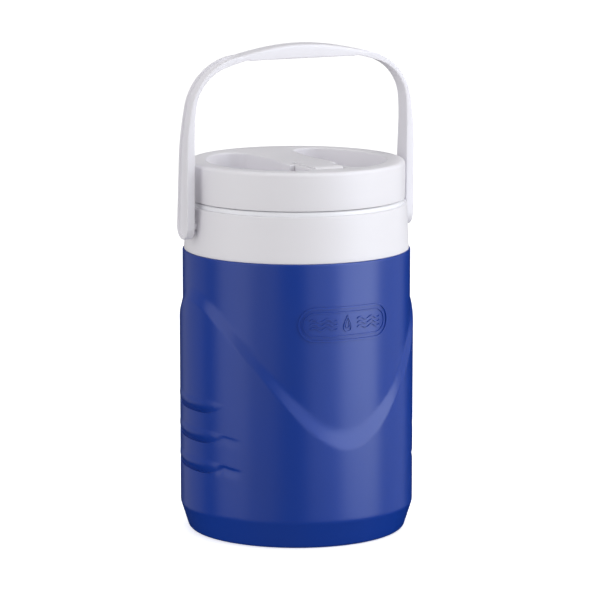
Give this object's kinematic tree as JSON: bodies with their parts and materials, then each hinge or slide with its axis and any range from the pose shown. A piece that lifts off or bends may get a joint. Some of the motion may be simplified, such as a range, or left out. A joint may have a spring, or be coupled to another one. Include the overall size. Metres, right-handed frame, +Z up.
{
  "type": "insulated water jug",
  "caption": "Insulated upright water jug with a screw lid, finger wells, flip-up drinking spout and a swinging bail handle for carrying.",
  "frame": {"origin": "centre of the base, on the surface that the jug stands on", "axes": "+Z up, -Y towards the spout and the badge, X along the handle's pivot axis"},
  "size_m": [0.1936, 0.1806, 0.3776],
  "materials": {
    "blue_shell": "satin moulded polyethylene with a fine grain",
    "white_trim": "satin moulded polypropylene",
    "white_handle": "satin moulded polypropylene",
    "white_liner": "smooth moulded plastic",
    "foam": "rigid foam",
    "seal_rubber": "matt moulded rubber"
  },
  "bodies": {
    "jug": {"outer_shell": "blue_shell", "base_plug": "blue_shell", "body_foam": "foam", "inner_liner": "white_liner", "collar": "white_trim"},
    "gasket": {"lid_gasket": "seal_rubber"},
    "lid": {"lid_cover": "white_trim", "lid_foam": "foam", "lid_pan": "white_liner", "spout_grommet": "seal_rubber"},
    "spout": {"spout": "white_trim"},
    "handle": {"handle": "white_handle", "grip_insert": "white_handle"}
  },
  "joints": [
    {"name": "lid_rise", "type": "slide", "parent": "jug", "child": "gasket", "axis": [0, 0, 1], "range_m": [0, 0.0181]},
    {"name": "lid_turn", "type": "hinge", "parent": "gasket", "child": "lid", "pos_m": [0, 0, 0.266], "axis": [0, 0, 1], "range_deg": [0, 540]},
    {"name": "spout_flip", "type": "hinge", "parent": "lid", "child": "spout", "pos_m": [0, -0.054, 0.282], "axis": [1, 0, 0], "range_deg": [0, 90]},
    {"name": "handle_swing", "type": "hinge", "parent": "jug", "child": "handle", "pos_m": [0, 0, 0.241], "axis": [1, 0, 0], "range_deg": [-134, 129]}
  ],
  "couplings": [
    {"joint": "lid_rise", "follows": "lid_turn", "m_per_rad": 0.0019099}
  ]
}
